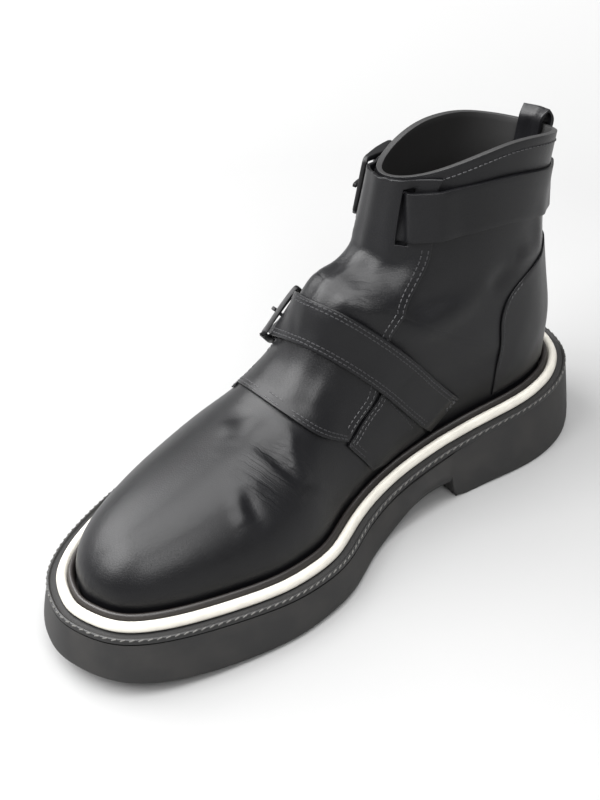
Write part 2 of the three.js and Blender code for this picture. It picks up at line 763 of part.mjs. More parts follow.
function makePanel() {
  const column = (name, toStep) => columnCurve(
    panelTable.map((row) => ({ ...row, [name]: toStep(row[name]) })), (row) => row.step, name);
  const inner = column('ring', rowOf);
  const middle = column('middle', rowOf);
  const outer = column('outerRing', rowOf);
  const innerGirth = column('girth', columnOf);
  const outerGirth = column('outerGirth', columnOf);
  const steps = [];
  for (let s = 0; s < slitRows.from; s += s < 2.5 ? 0.5 : 0.25) {
    steps.push(s);
  }
  steps.push(7, 7.5, 8, 8.5, 9, 10);
  const side = [slitShare.inner / 3, (slitShare.inner * 2) / 3, slitShare.inner, slitShare.outer, 0.8, 1];
  const shares = [...side.map((share) => -share).reverse(), 0, ...side];
  const layer = strapThickness + strapGap;
  const liftAt = (s) => smooth((s - 5.75) / (slitRows.from - 5.75));
  const ridge = columnOf(0.5);
  const places = steps.map((s) => shares.map((t) => {
    const bend = t < 0 ? inner(s) - middle(s) : outer(s) - middle(s);
    const edge = t < 0 ? innerGirth(s) : outerGirth(s);
    const lift = Math.abs(t) < 0.55 ? liftAt(s) * layer : 0;
    return [middle(s) + bend * t * t, ridge + (edge - ridge) * Math.abs(t), layerGap + lift];
  }));
  const isSlit = (j) => shares[j] === -slitShare.outer || shares[j] === slitShare.inner;
  const absent = (i, j) => isSlit(j) && steps[i] >= slitRows.from && steps[i] < slitRows.to;
  overlay('front_panel', places, panelThickness, leather, absent);
}

function makeWing(name, table) {
  const shares = [0, 0.25, 0.5, 0.75, 1];
  const rows = table.flatMap((row, i) => {
    const next = table[i + 1];
    const between = (name) => (row[name] + next[name]) / 2;
    return next === undefined ? [row] : [row, Object.fromEntries(Object.keys(row).map((name) => [name, between(name)]))];
  });
  const places = rows.map((row) => shares.map((share) => {
    const v = rowOf(row.ring + (row.lowRing - row.ring) * share);
    const u = columnOf(row.girth + (row.lowGirth - row.girth) * share);
    return [v, u, layerGap];
  }));
  overlay(name, places, wingThickness, leather);
}

function makeCounter() {
  const top = columnCurve(counterTable, (row) => row.back, 'top');
  const first = counterTable[0].back;
  const last = counterTable[counterTable.length - 1].back;
  const wanted = [first, 0.56, 0.61, 0.66, 0.71, 0.75, 0.785, 0.815, 0.84, 0.86, 0.874, 0.884, last];
  const side = (sideLine) => wanted.map((back) => {
    const y = back * halfLength;
    return { x: back === last ? featherHeel.x : edgeAt(sideLine, y), y, back };
  });
  const feet = [...side(featherMedial), ...side(featherLateral).reverse().slice(1)];
  const heights = [0, 0.2, 0.4, 0.6, 0.8, 1];
  const grid = (rise) => feet.map(({ x, y, back }) => heights.map((h) => {
    const low = seatHeight(y) + randHeight + 2.2;
    const high = top(Math.max(back, first)) * collarHeight;
    return pressed(new THREE.Vector3(x, y, low + (high - low) * h), rise);
  }));
  add('heel_counter', sheetSolid(grid(layerGap + counterThickness), grid(layerGap)), leather);
}

// Line on the skin with its own lengths and directions; offsets from it are pressed on the skin
class StrapLine {
  constructor(rows) {
    const curve = new THREE.CatmullRomCurve3(rows.map((row) => new THREE.Vector3(rowOf(row.ring), columnOf(row.girth), 0)));
    this.places = curve.getPoints(240);
    this.points = this.places.map((p) => onSkin(p.x, p.y, 0));
    this.lengths = [0];
    for (let i = 1; i < this.points.length; i += 1) {
      this.lengths.push(this.lengths[i - 1] + this.points[i].distanceTo(this.points[i - 1]));
    }
  }
  lengthAt(girth) {
    const u = columnOf(girth);
    const i = Math.max(this.places.findIndex((p) => p.y >= u), 1);
    const share = (u - this.places[i - 1].y) / (this.places[i].y - this.places[i - 1].y);
    return this.lengths[i - 1] + (this.lengths[i] - this.lengths[i - 1]) * share;
  }
  place(length) {
    let i = this.lengths.findIndex((value) => value >= length);
    i = Math.max(i < 0 ? this.lengths.length - 1 : i, 1);
    const share = (length - this.lengths[i - 1]) / (this.lengths[i] - this.lengths[i - 1]);
    return this.places[i - 1].clone().lerp(this.places[i], share);
  }
  at(length, offset, rise) {
    const middle = this.place(length);
    if (Math.abs(offset) < 0.01) {
      return onSkin(middle.x, middle.y, rise);
    }
    const [before, after] = [this.place(length - 3), this.place(length + 3)];
    const along = onSkin(after.x, after.y, 0).sub(onSkin(before.x, before.y, 0)).normalize();
    const point = onSkin(middle.x, middle.y, 0);
    const normal = onSkin(middle.x, middle.y, 1).sub(point);
    const across = normal.cross(along).normalize();
    return pressed(point.addScaledVector(across, offset), rise);
  }
}

// Height of a strap's underside along its line, straight between the given lengths
function heightCurve(stops) {
  const sorted = [...stops].sort((p, q) => p.at - q.at);
  return (length) => {
    const i = sorted.findIndex((stop) => stop.at >= length);
    if (i <= 0) {
      return i === 0 ? sorted[0].low : sorted[sorted.length - 1].low;
    }
    const [p, q] = [sorted[i - 1], sorted[i]];
    return p.low + ((q.low - p.low) * (length - p.at)) / (q.at - p.at);
  };
}

// Strap with a real hole for the prong between two lengths
function makeStrap(name, line, width, thickness, lengths, low, hole, folds = []) {
  const half = [prongHoleWidth / 2, ...folds.map((share) => share * width), width / 2];
  const offsets = [...half.map((b) => -b).reverse(), ...half];
  const grid = (extra) => lengths.map((length) => offsets.map((b) => line.at(length, b, low(length) + extra)));
  const absent = (i, j) => hole !== undefined && j === half.length - 1 && Math.abs(lengths[i] - hole) < 0.01;
  const outer = grid(thickness);
  const inner = grid(0);
  add(name, sheetSolid(outer, inner, absent), leather);
}

function spaced(from, to, step, extra) {
  const count = Math.round((to - from) / step);
  const list = [];
  for (let i = 0; i <= count; i += 1) {
    list.push(from + ((to - from) * i) / count);
  }
  const far = list.filter((value) => extra.every((other) => Math.abs(other - value) > step * 0.35));
  const ends = [from, to].filter((value) => !far.includes(value));
  return [...far, ...extra, ...ends].sort((p, q) => p - q);
}

// Centre-bar buckle: rails and side bars above the strap, the bar under it
function makeBuckle(name, line, site, width, barLow, sideLow) {
  const [half, side] = [buckleReach / 2, width / 2 + 0.6];
  const along = [-half, -half + buckleBar, -1.5, 1.5, half - buckleBar, half];
  const across = [-side - buckleBar, -side, -side / 3, side / 3, side, side + buckleBar];
  const isEnd = (i) => i === 0 || i === 5;
  const grid = (top) => across.map((b, i) => along.map((a, j) => {
    const corner = isEnd(i) && isEnd(j) ? 1 : 0;
    const centre = j === 2 || j === 3;
    let rise = centre ? barLow : sideLow;
    if (top) {
      rise = centre && !isEnd(i) ? barLow + barHeight : sideLow + buckleHeight;
    }
    return line.at(site + a - Math.sign(a) * corner, b - Math.sign(b) * corner, rise);
  }));
  const absent = (i, j) => i > 0 && i < 4 && (j === 1 || j === 3);
  add(name, sheetSolid(grid(true), grid(false), absent), blackMetal);
}

// Prong: from the bar up through the strap's hole and over the front side bar
function makeProng(name, line, site, barLow, sideLow) {
  const w = prongWidth / 2;
  const top = sideLow + buckleHeight + clearance + w;
  const path = [
    [-2.9, barLow + 0.6],
    [-3.3, barLow + barHeight + strapThickness],
    [-5.6, top - 0.2],
    [-buckleReach / 2 + 0.4, top],
  ];
  const rings = path.map(([a, r], i) => {
    const [p, q] = [path[Math.max(i - 1, 0)], path[Math.min(i + 1, path.length - 1)]];
    const length = Math.hypot(q[0] - p[0], q[1] - p[1]);
    const [na, nr] = [-(q[1] - p[1]) / length, (q[0] - p[0]) / length];
    return [[w, w], [-w, w], [-w, -w], [w, -w]].map(([b, n]) => line.at(site + a + na * n, b, r + nr * n));
  });
  const solid = new Solid();
  for (let i = 0; i + 1 < rings.length; i += 1) {
    band(solid, rings[i], rings[i + 1]);
  }
  const end = rings[rings.length - 1];
  solid.quad(rings[0][3], rings[0][2], rings[0][1], rings[0][0]);
  solid.quad(end[0], end[1], end[2], end[3]);
  add(name, solid.geometry(), blackMetal);
}

function makeKeeper(name, line, from, width, low, top) {
  const side = width / 2 + 0.5;
  const lengths = [from, from + keeperWidth / 2, from + keeperWidth];
  const wall = (extra) => lengths.map((length) => [
    line.at(length, -side - extra, low),
    line.at(length, -side - extra, top + extra),
    line.at(length, 0, top + extra),
    line.at(length, side + extra, top + extra),
    line.at(length, side + extra, low),
  ]);
  add(name, sheetSolid(wall(keeperThickness), wall(0)), leather);
}

function makeCollarStrap() {
  const line = new StrapLine(collarLine);
  const site = line.lengthAt(collarSite.girth);
  const start = line.lengthAt(collarSite.chape);
  const end = line.lengthAt(collarSite.tip);
  const slit = (share, side) => 0.5 + side * share * (0.5 - 0.395) * (side < 0 ? 1 : 1.02);
  const turn = (girth) => line.lengthAt(1 + girth);
  const margin = 0.6;
  const stops = [
    { at: start, low: layerGap },
    { at: line.lengthAt(0.915), low: layerGap },
    { at: line.lengthAt(0.94), low: overLoop },
    { at: line.lengthAt(0.955), low: overLoop },
    { at: line.lengthAt(0.975), low: overLoop },
    { at: line.lengthAt(1), low: overLoop },
    { at: line.lengthAt(1.025), low: overLoop },
    { at: line.lengthAt(1.045), low: overLoop },
    { at: line.lengthAt(1.06), low: overLoop },
    { at: line.lengthAt(1.085), low: layerGap },
    { at: turn(0.35), low: layerGap },
    { at: turn(0.38), low: overPanel },
    { at: turn(0.4), low: overPanel },
    { at: turn(0.42), low: overPanel + 0.2 },
    { at: turn(slit(slitShare.outer, -1)) + margin, low: overPanel + 0.2 },
    { at: turn(slit(slitShare.inner, -1)) - margin * 2, low: layerGap },
    { at: turn(0.468), low: layerGap },
    { at: turn(0.484), low: layerGap },
    { at: turn(0.5), low: layerGap },
    { at: turn(0.516), low: layerGap },
    { at: turn(0.532), low: layerGap },
    { at: turn(slit(slitShare.inner, 1)) + margin, low: layerGap },
    { at: turn(slit(slitShare.outer, 1)) - margin, low: overPanel },
    { at: turn(0.585), low: overPanel },
    { at: turn(0.6), low: overStrap },
    { at: site - 5.2, low: overStrap },
    { at: site - 1.9, low: overStrap + barHeight + clearance },
    { at: site + 1.9, low: overStrap + barHeight + clearance },
    { at: site + 5.2, low: overStrap },
    { at: end, low: overStrap },
  ];
  const extra = stops.slice(1, -1).map((stop) => stop.at);
  const lengths = spaced(start, end, 8, extra);
  makeStrap('collar_strap', line, beltWidth, strapThickness, lengths, heightCurve(stops), site - 5.2);
  const sideLow = overStrap + strapThickness + clearance;
  makeBuckle('collar_buckle', line, site, beltWidth, overStrap, sideLow);
  makeProng('collar_prong', line, site, overStrap, sideLow);
  makeKeeper('collar_keeper', line, site + buckleReach / 2 + 2, beltWidth, layerGap, sideLow);
}

function makeInstepStrap() {
  const line = new StrapLine(instepLine);
  const site = line.lengthAt(instepSite.girth);
  const start = line.lengthAt(instepLine[0].girth);
  const end = line.lengthAt(instepSite.tip);
  const stops = [
    { at: start, low: layerGap },
    { at: line.lengthAt(0.115), low: overWing },
    { at: line.lengthAt(0.26), low: overWing },
    { at: line.lengthAt(0.3), low: overPanel },
    { at: line.lengthAt(0.42), low: overPanel },
    { at: line.lengthAt(0.442), low: overPanel + 0.2 },
    { at: line.lengthAt(0.466), low: overPanel + 0.2 },
    { at: line.lengthAt(0.488), low: overPanel + 0.2 },
    { at: line.lengthAt(0.502), low: overPanel + 0.2 },
    { at: line.lengthAt(0.52), low: overPanel },
    { at: line.lengthAt(0.57), low: overPanel },
    { at: line.lengthAt(0.61), low: overChape },
    { at: site - 5.2, low: overChape },
    { at: site - 1.9, low: overChape + barHeight + clearance },
    { at: site + 1.9, low: overChape + barHeight + clearance },
    { at: site + 5.2, low: overChape },
    { at: end, low: overChape },
  ];
  const extra = stops.slice(1, -1).map((stop) => stop.at);
  const lengths = spaced(start, end, 5.2, extra);
  makeStrap('instep_strap', line, instepStrapWidth, strapThickness, lengths, heightCurve(stops), site - 5.2, [0.28]);
  const anchor = line.lengthAt(instepSite.anchor);
  const chapeStops = [
    { at: site - 1.5, low: overPanel },
    { at: line.lengthAt(0.85), low: overPanel },
    { at: anchor, low: overWing },
  ];
  const chapeLengths = spaced(site - 1.5, anchor, 7, [line.lengthAt(0.85)]);
  makeStrap('instep_chape', line, instepStrapWidth, chapeThickness, chapeLengths, heightCurve(chapeStops));
  const sideLow = overChape + strapThickness + clearance;
  makeBuckle('instep_buckle', line, site, instepStrapWidth, overChape, sideLow);
  makeProng('instep_prong', line, site, overChape, sideLow);
  makeKeeper('instep_keeper', line, site + buckleReach / 2 + 2, instepStrapWidth, overPanel, sideLow);
}

// Loop at the back of the collar, sewn outside under the strap and inside on the wall
function makePullLoop() {
  const collar = skin.length - 1;
  const heelColumn = columnOf(1);
  const [low, high] = [layerGap, layerGap + loopThickness];
  const [deep, deeper] = [-upperWall - layerGap, -upperWall - layerGap - loopThickness];
  const legs = [
    { down: 22, near: low, far: high },
    { down: 12, near: low, far: high },
    { down: 3, near: low, far: high },
    { down: -3, near: low - 0.1, far: high },
    { down: -loopRise + loopThickness, near: -upperWall / 2, far: -upperWall / 2, top: -loopRise },
    { down: -3, near: deep + 0.1, far: deeper },
    { down: 3, near: deep, far: deeper },
    { down: 14, near: deep, far: deeper },
  ];
  const offsets = [-0.5, -0.25, 0, 0.25, 0.5].map((share) => share * loopWidth);
  const point = (offset, down, rise) => {
    const rim = onSkin(collar, heelColumn, 0);
    rim.x += offset;
    const place = placeOf(rim);
    const edge = onSkin(collar, place.u, 0);
    const under = onSkin(collar - 1, place.u, 0);
    const fall = under.sub(edge).normalize();
    if (down > 0) {
      return pressed(edge.addScaledVector(fall, down), rise);
    }
    const out = onSkin(collar, place.u, rise);
    return out.addScaledVector(fall, down);
  };
  const outer = legs.map((leg) => offsets.map((b) => point(b, leg.top ?? leg.down, leg.far)));
  const inner = legs.map((leg) => offsets.map((b) => point(b, leg.down, leg.near)));
  add('pull_loop', sheetSolid(outer, inner), leather);
}

makeOutsole();
makeWelt();
makePiping();
makeRand();
makeInsole();
makeUpper();
makePanel();
makeWing('wing_medial', medialWingTable);
makeWing('wing_lateral', lateralWingTable);
makeCounter();
makeCollarStrap();
makeInstepStrap();
makePullLoop();

export default boot;
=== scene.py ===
import math
import random

import bmesh
import bpy
from mathutils import Matrix, Vector
from mathutils.bvhtree import BVHTree


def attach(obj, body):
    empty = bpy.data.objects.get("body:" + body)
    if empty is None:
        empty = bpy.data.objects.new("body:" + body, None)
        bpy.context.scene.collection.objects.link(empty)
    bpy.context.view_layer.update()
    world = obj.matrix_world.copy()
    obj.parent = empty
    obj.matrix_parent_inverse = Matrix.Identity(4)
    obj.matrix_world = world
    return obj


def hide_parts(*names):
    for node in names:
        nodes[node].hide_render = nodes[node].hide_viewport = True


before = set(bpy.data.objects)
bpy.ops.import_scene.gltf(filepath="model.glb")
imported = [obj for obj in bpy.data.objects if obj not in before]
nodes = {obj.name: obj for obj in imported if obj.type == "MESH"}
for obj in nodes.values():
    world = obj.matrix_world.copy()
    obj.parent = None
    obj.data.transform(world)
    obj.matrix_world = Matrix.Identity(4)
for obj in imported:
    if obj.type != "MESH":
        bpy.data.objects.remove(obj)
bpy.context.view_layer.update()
random.seed(7)
print("frame loaded,", len(nodes), "nodes")

mm = 0.001
smoothAngle = math.radians(38)
raw = {}  # merged meshes before smoothing, which the seams follow


# small hand tools

def clearSelection():
    if bpy.context.mode != "OBJECT":
        bpy.ops.object.mode_set(mode="OBJECT")
    bpy.ops.object.select_all(action="DESELECT")


def makeActive(piece):
    clearSelection()
    piece.select_set(True)
    bpy.context.view_layer.objects.active = piece


def editMesh(piece, selectMode="EDGE"):
    makeActive(piece)
    bpy.ops.object.mode_set(mode="EDIT")
    bpy.ops.mesh.select_mode(type=selectMode)
    bpy.ops.mesh.select_all(action="DESELECT")


def leaveEdit():
    bpy.ops.object.mode_set(mode="OBJECT")


def applyModifiers(piece):
    makeActive(piece)
    for modifier in list(piece.modifiers):
        bpy.ops.object.modifier_apply(modifier=modifier.name)


def pointsOf(mesh, count):
    return [mesh.vertices[k].co.copy() for k in range(count)]


fitting = {"rounds": 3, "pull": 0.9}


# Subdivision that still passes through the corners it starts from
def subdivided(piece, levels):
    count = len(piece.data.vertices)
    wanted = pointsOf(piece.data, count)
    smoother = piece.modifiers.new("smooth", "SUBSURF")
    smoother.levels = levels
    smoother.render_levels = levels
    for _ in range(fitting["rounds"]):
        bpy.context.view_layer.update()
        seen = piece.evaluated_get(bpy.context.evaluated_depsgraph_get()).to_mesh()
        got = pointsOf(seen, count)
        for k in range(count):
            piece.data.vertices[k].co += (wanted[k] - got[k]) * fitting["pull"]
        piece.data.update()
    applyModifiers(piece)


def placePiece(piece, finish, stands=()):
    piece.data.materials.clear()
    piece.data.materials.append(finish)
    makeActive(piece)
    bpy.ops.object.shade_smooth_by_angle(angle=smoothAngle)
    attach(piece, "root")
    if stands:
        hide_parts(*stands)
    clearSelection()


merging = {"gap": 0.00001, "faceAngle": math.radians(70), "shapeAngle": math.radians(180)}


# A node's mesh as its own piece, with the triangles merged and paired
def copyOfNode(node, name):
    mesh = nodes[node].data.copy()
    mesh.transform(nodes[node].matrix_world)
    piece = bpy.data.objects.new(name, mesh)
    bpy.context.scene.collection.objects.link(piece)
    editMesh(piece, "VERT")
    bpy.ops.mesh.select_all(action="SELECT")
    bpy.ops.mesh.remove_doubles(threshold=merging["gap"])
    bpy.ops.mesh.tris_convert_to_quads(face_threshold=merging["faceAngle"],
                                       shape_threshold=merging["shapeAngle"])
    leaveEdit()
    return piece


def roundEdges(piece, width, segments):
    editMesh(piece)
    bpy.ops.mesh.edges_select_sharp(sharpness=math.radians(40))
    bpy.ops.mesh.bevel(offset=width, segments=segments, affect="EDGES", clamp_overlap=True)
    leaveEdit()


def creaseEdges(piece, sharpness):
    editMesh(piece)
    bpy.ops.mesh.edges_select_sharp(sharpness=math.radians(sharpness))
    bpy.ops.transform.edge_crease(value=1.0)
    leaveEdit()


# Smooth copy of a node, its sharp edges kept and then rounded by the edge width in mm
def smoothCopy(node, name, edge, levels=2, sharpness=50, segments=2):
    piece = copyOfNode(node, name)
    raw[node] = piece.data.copy()
    if edge:
        creaseEdges(piece, sharpness)
    subdivided(piece, levels)
    if edge:
        roundEdges(piece, edge * mm, segments)
    return piece


# Border loops of the faces that a test picks, each point with its way inwards
def rimLoops(mesh, isOuter):
    grid = bmesh.new()
    grid.from_mesh(mesh)
    outer = {face for face in grid.faces if isOuter(face.calc_center_median(), face.normal)}
    border = {}
    for edge in grid.edges:
        faces = [face for face in edge.link_faces if face in outer]
        if len(faces) != 1:
            continue
        first, second = edge.verts
        middle = (first.co + second.co) / 2
        along = (second.co - first.co).normalized()
        inward = faces[0].calc_center_median() - middle
        inward = (inward - along * inward.dot(along)).normalized()
        for corner, other in ((first, second), (second, first)):
            border.setdefault(corner, []).append((other, inward))
    loops, used = [], set()
    for start in border:
        if start in used:
            continue
        loop, corner = [], start
        while corner is not None and corner not in used:
            used.add(corner)
            inward = sum((way for _, way in border[corner]), Vector())
            loop.append((corner.co.copy(), inward.normalized()))
            corner = next((other for other, _ in border[corner] if other not in used), None)
        loops.append(loop)
    grid.free()
    return sorted(loops, key=lambda loop: -len(loop))


# Runs of a loop whose points a test keeps
def runsOf(loop, keep):
    flags = [keep(point / mm) for point, _ in loop]
    if all(flags):
        return [loop + loop[:1]]
    start = flags.index(False)
    runs, run = [], []
    for k in range(len(loop) + 1):
        spot = (start + k) % len(loop)
        if flags[spot] and k < len(loop):
            run.append(loop[spot])
        elif run:
            runs.append(run)
            run = []
    return [run for run in runs if len(run) > 1]


# Soft curve through the points
def smoothLine(points):
    step = 0.8 * mm
    out = []
    for k in range(len(points) - 1):
        a, b = points[max(k - 1, 0)], points[k]
        c, d = points[k + 1], points[min(k + 2, len(points) - 1)]
        parts = max(1, round((c - b).length / step))
        for n in range(parts):
            t = n / parts
            out.append(0.5 * (2 * b + (c - a) * t + (2 * a - 5 * b + 4 * c - d) * t * t
                              + (3 * b - a - 3 * c + d) * t ** 3))
    return out + [points[-1]]


def surfaceOf(piece):
    grid = bmesh.new()
    grid.from_mesh(piece.data)
    tree = BVHTree.FromBMesh(grid)
    grid.free()
    return tree


# Points a pitch apart, each with its way along the line
def evenPoints(points, pitch):
    out, left = [], pitch / 2
    for a, b in zip(points, points[1:]):
        span = (b - a).length
        at = left
        while at <= span:
            out.append((a.lerp(b, at / span), (b - a).normalized()))
            at += pitch
        left = at - span
    return out


def insetLine(run, inset):
    return smoothLine([point + inward * inset for point, inward in run])


# materials

# One socket, so that sums of looks read as sums
class Wire:
    def __init__(self, shop, socket):
        self.shop, self.socket = shop, socket

    def step(self, operation, other, swap=False):
        first, second = (other, self) if swap else (self, other)
        return self.shop.node("ShaderNodeMath", {"operation": operation}, {0: first, 1: second})

    def __add__(self, other):
        return self.step("ADD", other)

    def __radd__(self, other):
        return self.step("ADD", other, True)

    def __sub__(self, other):
        return self.step("SUBTRACT", other)

    def __rsub__(self, other):
        return self.step("SUBTRACT", other, True)

    def __mul__(self, other):
        return self.step("MULTIPLY", other)

    def __rmul__(self, other):
        return self.step("MULTIPLY", other, True)


class Shop:
    def __init__(self, name):
        self.material = bpy.data.materials.new(name)
        self.material.use_nodes = True
        self.tree = self.material.node_tree
        self.shader = self.tree.nodes["Principled BSDF"]

    def node(self, kind, settings=None, sockets=None, output=0):
        made = self.tree.nodes.new(kind)
        for key, value in (settings or {}).items():
            if key == "stops":
                ramp = made.color_ramp
                for k, (place, level) in enumerate(value):
                    stop = ramp.elements[k] if k < 2 else ramp.elements.new(place)
                    stop.position, stop.color = place, (level, level, level, 1)
            else:
                setattr(made, key, value)
        for key, value in (sockets or {}).items():
            self.feed(made.inputs[key], value)
        return Wire(self, made.outputs[output])

    def feed(self, socket, value):
        if isinstance(value, Wire):
            self.tree.links.new(value.socket, socket)
        else:
            socket.default_value = value

    def place(self):
        return self.node("ShaderNodeTexCoord", output="Object")

    def noise(self, scale, detail, rough):
        return self.node("ShaderNodeTexNoise", {}, {
            "Vector": self.place(), "Scale": scale, "Detail": detail, "Roughness": rough}, "Fac")

    def ramp(self, value, *stops):
        return self.node("ShaderNodeValToRGB", {"stops": stops}, {"Fac": value})

    def mix(self, share, first, second):
        made = self.tree.nodes.new("ShaderNodeMix")
        made.data_type = "RGBA"
        self.feed(made.inputs[0], share)
        self.feed(made.inputs[6], first)
        self.feed(made.inputs[7], second)
        return Wire(self, made.outputs[2])

    def bump(self, height, distance, strength, under=None):
        sockets = {"Height": height, "Distance": distance, "Strength": strength}
        if under is not None:
            sockets["Normal"] = under
        return self.node("ShaderNodeBump", {}, sockets, "Normal")

    def set(self, **values):
        names = {"color": "Base Color", "roughness": "Roughness", "metallic": "Metallic",
                 "coat": "Coat Weight", "coatRoughness": "Coat Roughness", "normal": "Normal",
                 "specular": "Specular IOR Level", "glow": "Emission Color",
                 "glowStrength": "Emission Strength"}
        for key, value in values.items():
            self.feed(self.shader.inputs[names[key]], value)
        return self.material


leatherLook = {
    "black": (0.0028, 0.0028, 0.0034, 1),
    "worn": (0.0066, 0.0067, 0.008, 1),
    "poreScale": 950,
    "fineScale": 2600,
    "cloudScale": 38,
    "rollScale": 70,
    "creaseScale": 520,
    "creaseDepth": 0.00035,
    "rollDepth": 0.0005,
    "specular": 0.27,
}
# Fine creases near one spot: middle and reach in mm, way across them, strength
wrinkleZones = [
    ((27, -44, 59), 19, (0.16, -0.87, -0.47), 1.0),
    ((15, 20, 112), 17, (0.45, -0.48, -0.57), 0.3),
    ((29, 98, 110), 16, (0.1, 0.35, 0.93), 0.35),
]


def wrinkles(shop, cloud):
    spot = shop.place()
    total = None
    for middle, reach, across, strength in wrinkleZones:
        gap = shop.node("ShaderNodeVectorMath", {"operation": "DISTANCE"}, {
            0: spot, 1: tuple(c * mm for c in middle)}, "Value")
        near = shop.ramp(gap * (1 / (reach * mm)), (0.35, strength), (1.0, 0.0))
        way = shop.node("ShaderNodeVectorMath", {"operation": "DOT_PRODUCT"}, {
            0: spot, 1: across}, "Value")
        lines = shop.node("ShaderNodeTexNoise", {"noise_dimensions": "1D"}, {
            "W": way * leatherLook["creaseScale"] + cloud * 5, "Scale": 1.0,
            "Detail": 3.0, "Roughness": 0.55}, "Fac")
        part = shop.ramp(lines, (0.36, 0.0), (0.52, 1.0)) * near + (1 - near)
        total = part if total is None else total * part
    return total


def leatherFinish(name, roughness=0.39, grain=0.00006):
    shop = Shop(name)
    wide = shop.noise(leatherLook["cloudScale"], 4, 0.55)
    pores = shop.node("ShaderNodeTexVoronoi", {"feature": "DISTANCE_TO_EDGE"}, {
        "Vector": shop.place(), "Scale": leatherLook["poreScale"]}, "Distance")
    fine = shop.noise(leatherLook["fineScale"], 2, 0.5)
    tone = shop.ramp(wide, (0.35, 0.0), (0.75, 1.0))
    grainNormal = shop.bump(shop.ramp(pores, (0.0, 0.0), (0.12, 1.0)), grain, 0.45)
    soft = shop.bump(fine, grain * 0.5, 0.3, grainNormal)
    worn = shop.bump(wrinkles(shop, wide), leatherLook["creaseDepth"], 0.5, soft)
    rolls = shop.bump(shop.noise(leatherLook["rollScale"], 3, 0.5), leatherLook["rollDepth"], 0.28, worn)
    return shop.set(
        color=shop.mix(tone * 0.45, leatherLook["black"], leatherLook["worn"]),
        roughness=roughness + (wide - 0.5) * 0.16,
        normal=rolls, coat=0.05, coatRoughness=0.2, specular=leatherLook["specular"])


rubberLook = {
    "dark": (0.014, 0.0138, 0.0138, 1),
    "dusty": (0.045, 0.042, 0.039, 1),
    "dustScale": 55,
    "speckScale": 900,
    "grainScale": 1500,
}


def rubberFinish(name):
    shop = Shop(name)
    dust = shop.ramp(shop.noise(rubberLook["dustScale"], 5, 0.65), (0.42, 0.0), (0.78, 1.0))
    specks = shop.ramp(shop.noise(rubberLook["speckScale"], 2, 0.5), (0.6, 0.0), (0.8, 1.0))
    return shop.set(
        color=shop.mix(dust * 0.5 + specks * 0.1, rubberLook["dark"], rubberLook["dusty"]),
        roughness=0.62 + dust * 0.18,
        normal=shop.bump(shop.noise(rubberLook["grainScale"], 3, 0.6), 0.00008, 0.5), specular=0.4)


def plainFinish(name, color, roughness, grain=0.00003, scale=1500, **more):
    shop = Shop(name)
    cloud = shop.noise(120, 3, 0.55)
    dark = tuple(c * 0.8 for c in color[:3]) + (1,)
    return shop.set(
        color=shop.mix(shop.ramp(cloud, (0.3, 0.0), (0.75, 1.0)), color, dark),
        roughness=roughness + (cloud - 0.5) * 0.1,
        normal=shop.bump(shop.noise(scale, 2, 0.5), grain, 0.4), **more)


upperLeather = leatherFinish("smoothBlackLeather")
strapLeather = leatherFinish("strapLeather", 0.43, 0.00005)
liningLeather = plainFinish("blackLining", (0.009, 0.0087, 0.0087, 1), 0.62, 0.00008, 1100)
soleRubber = rubberFinish("soleRubber")
weltRubber = plainFinish("weltRubber", (0.009, 0.0088, 0.0088, 1), 0.5)
ivoryPiping = plainFinish("ivoryPiping", (0.56, 0.54, 0.485, 1), 0.4)
randLeather = plainFinish("darkRand", (0.014, 0.0115, 0.0105, 1), 0.45)
blackLacquer = plainFinish("blackLacquer", (0.006, 0.006, 0.0066, 1), 0.42, 0.00001, 800,
                           metallic=0.2, specular=0.45)
darkThread = plainFinish("darkThread", (0.02, 0.02, 0.022, 1), 0.5)
greyThread = plainFinish("greyThread", (0.075, 0.073, 0.068, 1), 0.7)
cutEdge = plainFinish("cutEdge", (0.018, 0.0178, 0.018, 1), 0.5)


floorLook = {"color": (0.265, 0.265, 0.265, 1), "roughness": 0.7, "specular": 0.2,
             "glowStops": ((0.08, 0.0), (0.22, 0.42), (0.36, 0.75), (0.6, 0.86))}


# Pale floor that stays pale where the lamps no longer reach
def paleFinish():
    shop = Shop("paleFloor")
    away = shop.node("ShaderNodeVectorMath", {"operation": "LENGTH"}, {0: shop.place()}, "Value")
    glow = shop.ramp(away * 0.25, *floorLook["glowStops"])
    return shop.set(color=floorLook["color"], roughness=floorLook["roughness"],
                    specular=floorLook["specular"], glow=glow, glowStrength=1.0)


floorFinish = paleFinish()
print("materials ready")

# leather pieces: name and edge rounding in mm
coverPlan = {
    "upper": ("upperLeather", 0.5),
    "front_panel": ("frontPanel", 0.35),
    "wing_medial": ("wingInner", 0.25),
    "wing_lateral": ("wingOuter", 0.25),
    "heel_counter": ("heelCounter", 0.25),
    "collar_strap": ("collarStrap", 0.45),
    "instep_strap": ("instepStrap", 0.45),
    "instep_chape": ("instepChape", 0.25),
    "collar_keeper": ("collarKeeper", 0.35),
    "instep_keeper": ("instepKeeper", 0.35),
    "pull_loop": ("pullLoop", 0.3),
}
covers = {}
for node, (name, edge) in coverPlan.items():
    piece = smoothCopy(node, name, edge)
    isStrap = "strap" in node or "chape" in node or "keeper" in node
    placePiece(piece, strapLeather if isStrap else upperLeather, (node,))
    covers[node] = piece
upper = covers["upper"]
print("leather pieces copied and smoothed")

# line through the middle of the foot and up the shaft, in mm
footAxis = [(4, -125, 36), (2, -60, 40), (1, -20, 48), (3, 40, 62), (4, 80, 75), (4, 80, 200)]


def nearestOnAxis(point):
    best = None
    for a, b in zip(footAxis, footAxis[1:]):
        a, b = Vector(a) * mm, Vector(b) * mm
        share = max(0.0, min(1.0, (point - a).dot(b - a) / (b - a).length_squared))
        spot = a.lerp(b, share)
        if best is None or (spot - point).length < (best - point).length:
            best = spot
    return best


